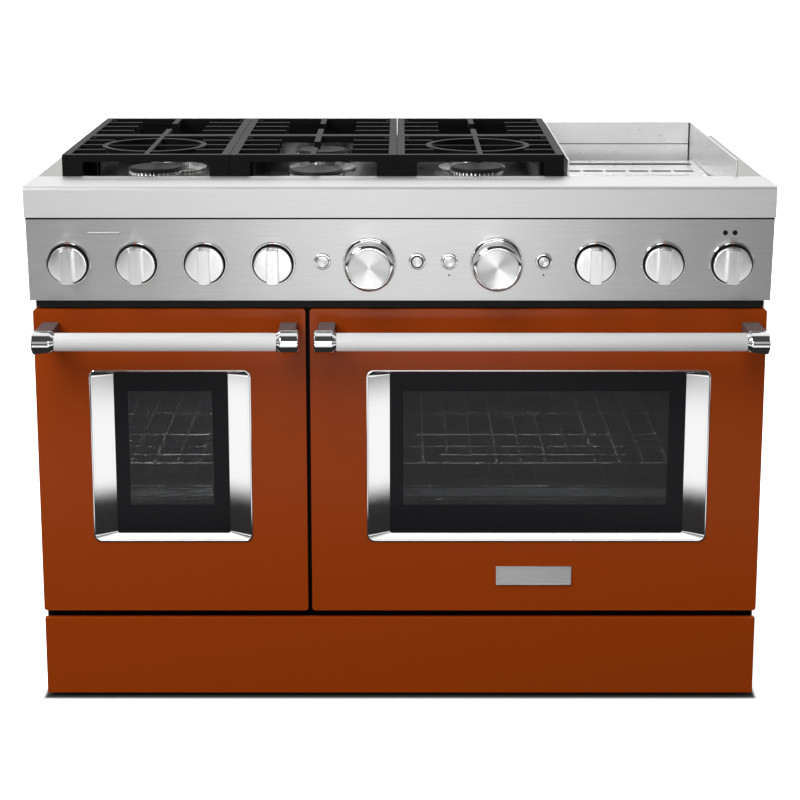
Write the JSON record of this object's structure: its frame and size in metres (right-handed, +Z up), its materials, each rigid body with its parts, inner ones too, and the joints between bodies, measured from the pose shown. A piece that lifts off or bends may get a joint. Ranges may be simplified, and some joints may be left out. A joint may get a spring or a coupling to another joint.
{
  "type": "freestanding gas range",
  "caption": "Freestanding wide gas range with side-by-side ovens, a row of burner knobs, cast-iron grates and a griddle, in orange enamel and stainless steel.",
  "frame": {"origin": "on the floor, under the middle of the whole range's bounding box", "axes": "+X to the right as seen from the front, +Y from the doors to the back, +Z up"},
  "size_m": [1.216, 0.755, 0.921],
  "materials": {
    "brushed_stainless": "horizontally brushed stainless steel",
    "orange_enamel": "gloss baked enamel, burnt orange",
    "polished_chrome": "polished chrome",
    "cast_iron_enamel": "matte black enamelled cast iron",
    "black_steel": "black painted steel",
    "oven_enamel": "dark speckled porcelain enamel",
    "dark_glass": "tinted tempered glass",
    "galvanised_steel": "galvanised sheet",
    "cooktop_stainless": "satin stainless steel",
    "knob_metal": "satin stainless with brushed faces",
    "burner_alloy": "cast aluminium, matte",
    "burner_cap_enamel": "matte black enamel",
    "valve_brass": "plain brass and steel pipe",
    "rack_wire": "nickel plated wire",
    "lamp_glass": "clear lamp cover",
    "indicator": "dark indicator windows"
  },
  "bodies": {
    "range_body": {"side_panels": "brushed_stainless", "back_panel": "galvanised_steel", "base_pan": "galvanised_steel", "levelling_legs": "black_steel", "kick_panel": "orange_enamel", "front_frame": "black_steel", "front_ledge": "brushed_stainless", "control_panel": "brushed_stainless", "cooktop_deck": "cooktop_stainless", "griddle_surround": "cooktop_stainless", "griddle_plate": "polished_chrome", "flue_grille": "cooktop_stainless", "burner_bases": "burner_alloy", "burner_caps": "burner_cap_enamel", "grates_left": "cast_iron_enamel", "grates_middle": "cast_iron_enamel", "grates_right": "cast_iron_enamel", "gas_manifold": "valve_brass", "gas_inlet": "valve_brass", "oven_cavity_left": "oven_enamel", "oven_cavity_right": "oven_enamel", "bake_burners": "galvanised_steel", "fan_covers": "oven_enamel", "control_bezels": "polished_chrome", "indicator_lamps": "indicator", "oven_lamps": "lamp_glass"},
    "left_door": {"door_left_panel": "orange_enamel", "door_left_liner": "oven_enamel", "door_left_surround": "polished_chrome", "door_left_glass": "dark_glass", "handle_left_bar": "brushed_stainless", "handle_left_brackets": "polished_chrome", "hinges_left": "galvanised_steel"},
    "right_door": {"door_right_panel": "orange_enamel", "door_right_liner": "oven_enamel", "door_right_surround": "polished_chrome", "door_right_glass": "dark_glass", "handle_right_bar": "brushed_stainless", "handle_right_brackets": "polished_chrome", "hinges_right": "galvanised_steel", "badge": "brushed_stainless"},
    "left_lower_rack": {"rack_left_lower": "rack_wire"},
    "left_upper_rack": {"rack_left_upper": "rack_wire"},
    "right_lower_rack": {"rack_right_lower": "rack_wire"},
    "right_upper_rack": {"rack_right_upper": "rack_wire"},
    "left_fan": {"fan_left": "galvanised_steel"},
    "right_fan": {"fan_right": "galvanised_steel"},
    "burner_knob_1": {"knob_1": "knob_metal"},
    "burner_knob_2": {"knob_2": "knob_metal"},
    "burner_knob_3": {"knob_3": "knob_metal"},
    "burner_knob_4": {"knob_4": "knob_metal"},
    "burner_knob_5": {"knob_5": "knob_metal"},
    "burner_knob_6": {"knob_6": "knob_metal"},
    "burner_knob_7": {"knob_7": "knob_metal"},
    "left_oven_dial": {"oven_dial_left": "knob_metal"},
    "right_oven_dial": {"oven_dial_right": "knob_metal"},
    "push_button_1": {"button_1": "knob_metal"},
    "push_button_2": {"button_2": "knob_metal"},
    "push_button_3": {"button_3": "knob_metal"},
    "push_button_4": {"button_4": "knob_metal"}
  },
  "joints": [
    {"name": "left_door_hinge", "type": "hinge", "parent": "range_body", "child": "left_door", "pos_m": [0, -0.2475, 0.191], "axis": [1, 0, 0], "range_deg": [0, 90]},
    {"name": "right_door_hinge", "type": "hinge", "parent": "range_body", "child": "right_door", "pos_m": [0, -0.2475, 0.191], "axis": [1, 0, 0], "range_deg": [0, 90]},
    {"name": "left_lower_rack_slide", "type": "slide", "parent": "range_body", "child": "left_lower_rack", "axis": [0, -1, 0], "range_m": [0, 0.165]},
    {"name": "left_upper_rack_slide", "type": "slide", "parent": "range_body", "child": "left_upper_rack", "axis": [0, -1, 0], "range_m": [0, 0.299]},
    {"name": "right_lower_rack_slide", "type": "slide", "parent": "range_body", "child": "right_lower_rack", "axis": [0, -1, 0], "range_m": [0, 0.165]},
    {"name": "right_upper_rack_slide", "type": "slide", "parent": "range_body", "child": "right_upper_rack", "axis": [0, -1, 0], "range_m": [0, 0.299]},
    {"name": "burner_knob_1_turn", "type": "hinge", "parent": "range_body", "child": "burner_knob_1", "pos_m": [-0.5405, -0.29878, 0.75608], "axis": [0, -0.9951, -0.099], "range_deg": [0, 240]},
    {"name": "burner_knob_2_turn", "type": "hinge", "parent": "range_body", "child": "burner_knob_2", "pos_m": [-0.4293, -0.29878, 0.75608], "axis": [0, -0.9951, -0.099], "range_deg": [0, 240]},
    {"name": "burner_knob_3_turn", "type": "hinge", "parent": "range_body", "child": "burner_knob_3", "pos_m": [-0.3181, -0.29878, 0.75608], "axis": [0, -0.9951, -0.099], "range_deg": [0, 240]},
    {"name": "burner_knob_4_turn", "type": "hinge", "parent": "range_body", "child": "burner_knob_4", "pos_m": [-0.2069, -0.29878, 0.75608], "axis": [0, -0.9951, -0.099], "range_deg": [0, 240]},
    {"name": "burner_knob_5_turn", "type": "hinge", "parent": "range_body", "child": "burner_knob_5", "pos_m": [0.3181, -0.29878, 0.75608], "axis": [0, -0.9951, -0.099], "range_deg": [0, 240]},
    {"name": "burner_knob_6_turn", "type": "hinge", "parent": "range_body", "child": "burner_knob_6", "pos_m": [0.4293, -0.29878, 0.75608], "axis": [0, -0.9951, -0.099], "range_deg": [0, 240]},
    {"name": "burner_knob_7_turn", "type": "hinge", "parent": "range_body", "child": "burner_knob_7", "pos_m": [0.5405, -0.29878, 0.75608], "axis": [0, -0.9951, -0.099], "range_deg": [0, 240]},
    {"name": "left_oven_dial_turn", "type": "hinge", "parent": "range_body", "child": "left_oven_dial", "pos_m": [-0.0498, -0.29878, 0.75608], "axis": [0, -0.9951, -0.099], "range_deg": [0, 300]},
    {"name": "right_oven_dial_turn", "type": "hinge", "parent": "range_body", "child": "right_oven_dial", "pos_m": [0.1578, -0.29878, 0.75608], "axis": [0, -0.9951, -0.099], "range_deg": [0, 300]},
    {"name": "push_button_1_press", "type": "slide", "parent": "range_body", "child": "push_button_1", "axis": [0, 0.9951, 0.099], "range_m": [0, 0.0025], "stiffness_N_per_m": 400},
    {"name": "push_button_2_press", "type": "slide", "parent": "range_body", "child": "push_button_2", "axis": [0, 0.9951, 0.099], "range_m": [0, 0.0025], "stiffness_N_per_m": 400},
    {"name": "push_button_3_press", "type": "slide", "parent": "range_body", "child": "push_button_3", "axis": [0, 0.9951, 0.099], "range_m": [0, 0.0025], "stiffness_N_per_m": 400},
    {"name": "push_button_4_press", "type": "slide", "parent": "range_body", "child": "push_button_4", "axis": [0, 0.9951, 0.099], "range_m": [0, 0.0025], "stiffness_N_per_m": 400},
    {"name": "left_fan_spin", "type": "hinge", "parent": "range_body", "child": "left_fan", "pos_m": [-0.379, 0.2745, 0.43], "axis": [0, -1, 0], "continuous": true},
    {"name": "right_fan_spin", "type": "hinge", "parent": "range_body", "child": "right_fan", "pos_m": [0.2275, 0.2745, 0.43], "axis": [0, -1, 0], "continuous": true}
  ],
  "couplings": [
    {"joint": "left_lower_rack_slide", "follows": "left_door_hinge", "m_per_rad": 0.105},
    {"joint": "left_upper_rack_slide", "follows": "left_door_hinge", "m_per_rad": 0.19},
    {"joint": "right_lower_rack_slide", "follows": "right_door_hinge", "m_per_rad": 0.105},
    {"joint": "right_upper_rack_slide", "follows": "right_door_hinge", "m_per_rad": 0.19}
  ]
}
